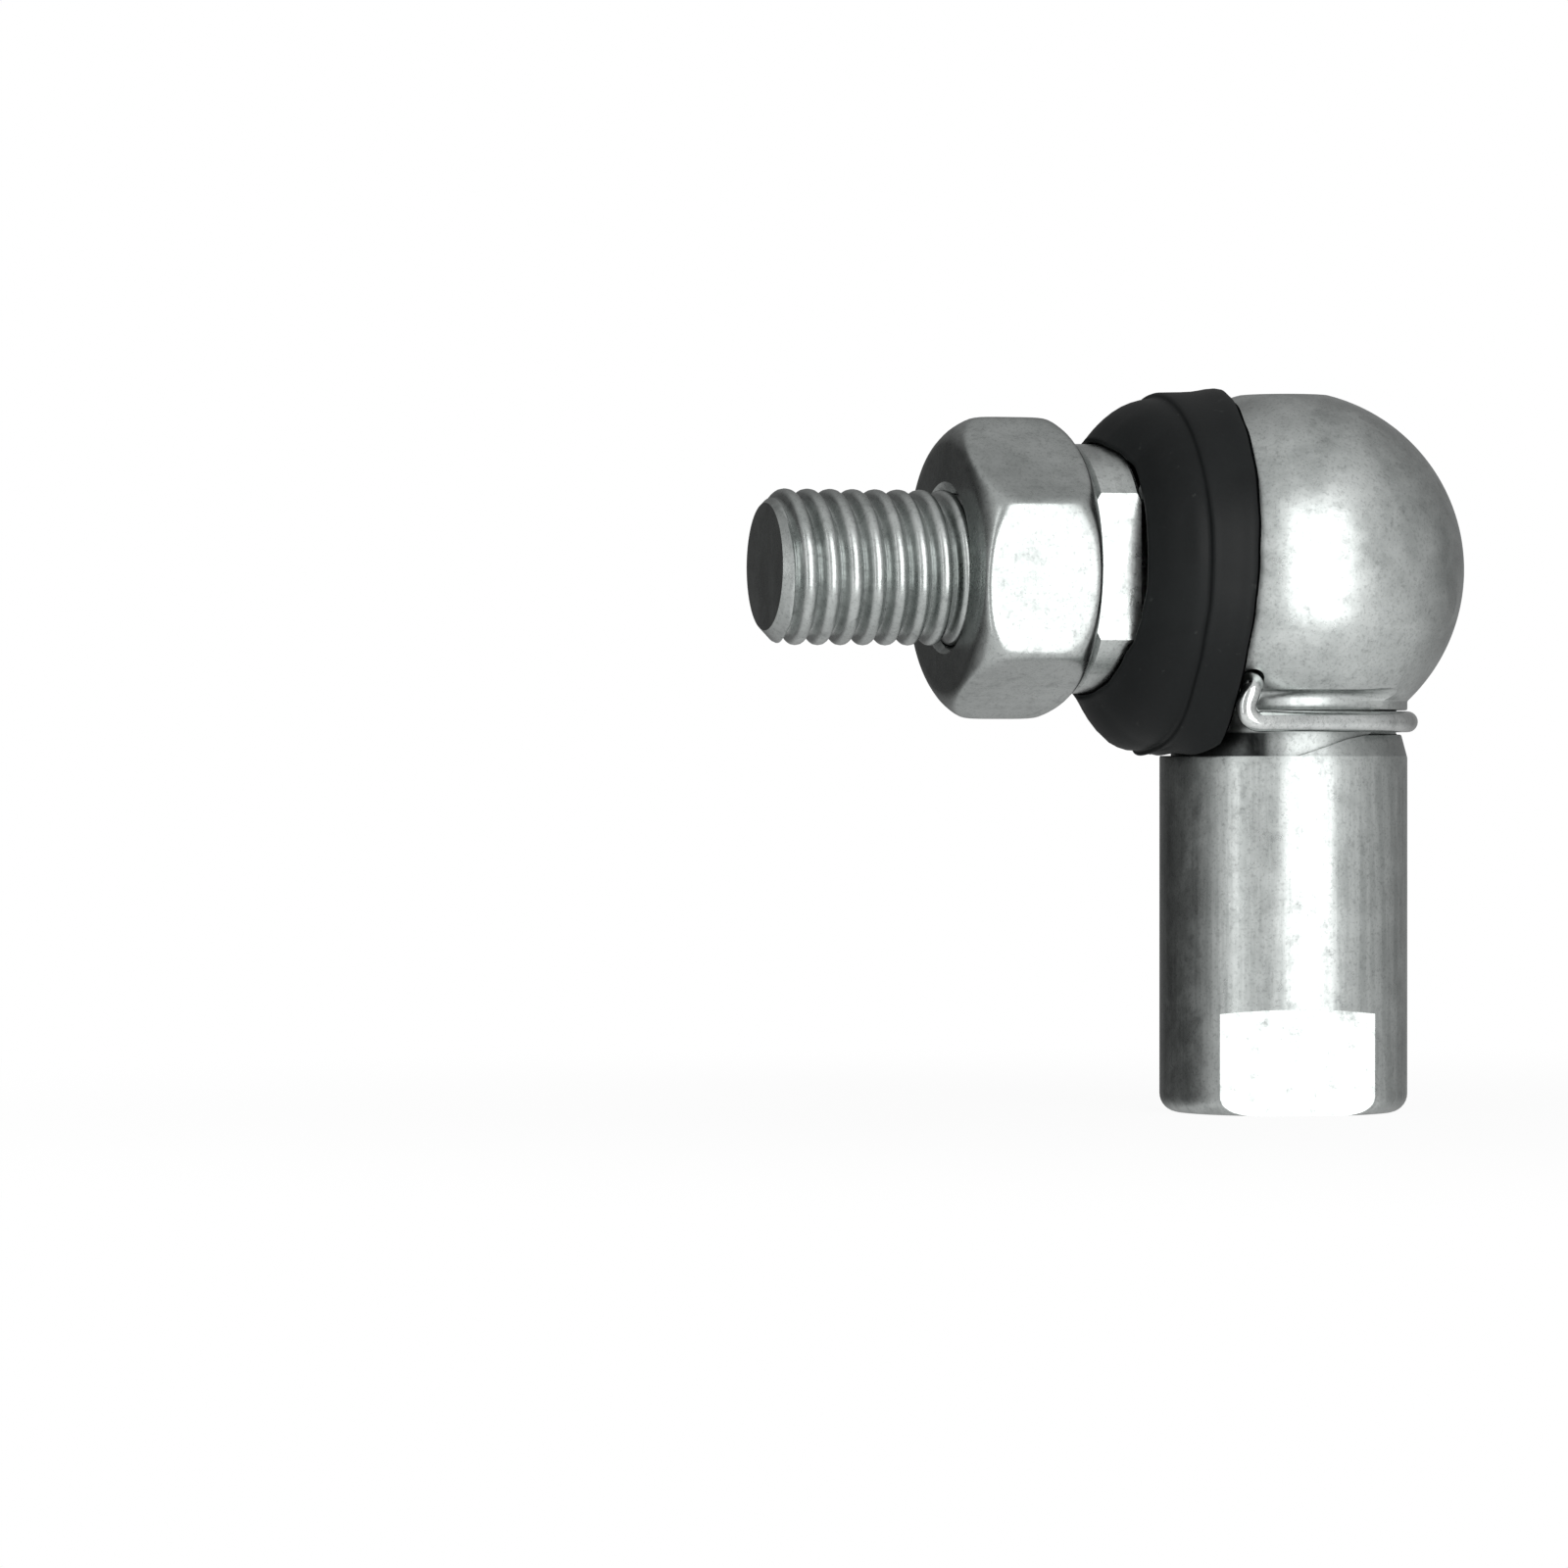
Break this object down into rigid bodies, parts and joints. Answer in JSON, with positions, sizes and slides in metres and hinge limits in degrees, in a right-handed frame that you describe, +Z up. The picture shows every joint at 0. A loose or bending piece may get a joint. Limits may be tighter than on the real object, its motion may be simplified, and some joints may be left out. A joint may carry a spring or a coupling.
{
  "type": "angle ball joint",
  "caption": "Steel angle ball joint: socket housing on a tapped neck, threaded ball stud with nut, wire clip and rubber boot.",
  "frame": {"origin": "middle of the neck's end face, on the neck's axis", "axes": "+Z up along the neck towards the ball, -X along the stud towards its threaded end"},
  "size_m": [0.0466, 0.0234, 0.0467],
  "materials": {
    "plated_steel": "satin",
    "spring_wire": "satin",
    "boot_rubber": "satin"
  },
  "bodies": {
    "housing": {"socket_housing": "plated_steel", "retaining_clip": "spring_wire"},
    "boot": {"sealing_boot": "boot_rubber"},
    "stud": {"ball_stud": "plated_steel"},
    "nut": {"hex_nut": "plated_steel"}
  },
  "joints": [
    {"name": "stud_tilt", "type": "hinge", "parent": "housing", "child": "boot", "pos_m": [0, 0, 0.035], "axis": [0, 1, 0], "range_deg": [-18, 18], "deforming": ["sealing_boot"]},
    {"name": "stud_spin", "type": "hinge", "parent": "boot", "child": "stud", "pos_m": [0, 0, 0.035], "axis": [-1, 0, 0], "continuous": true},
    {"name": "nut_run", "type": "slide", "parent": "stud", "child": "nut", "axis": [-1, 0, 0], "range_m": [0, 0.012]}
  ]
}
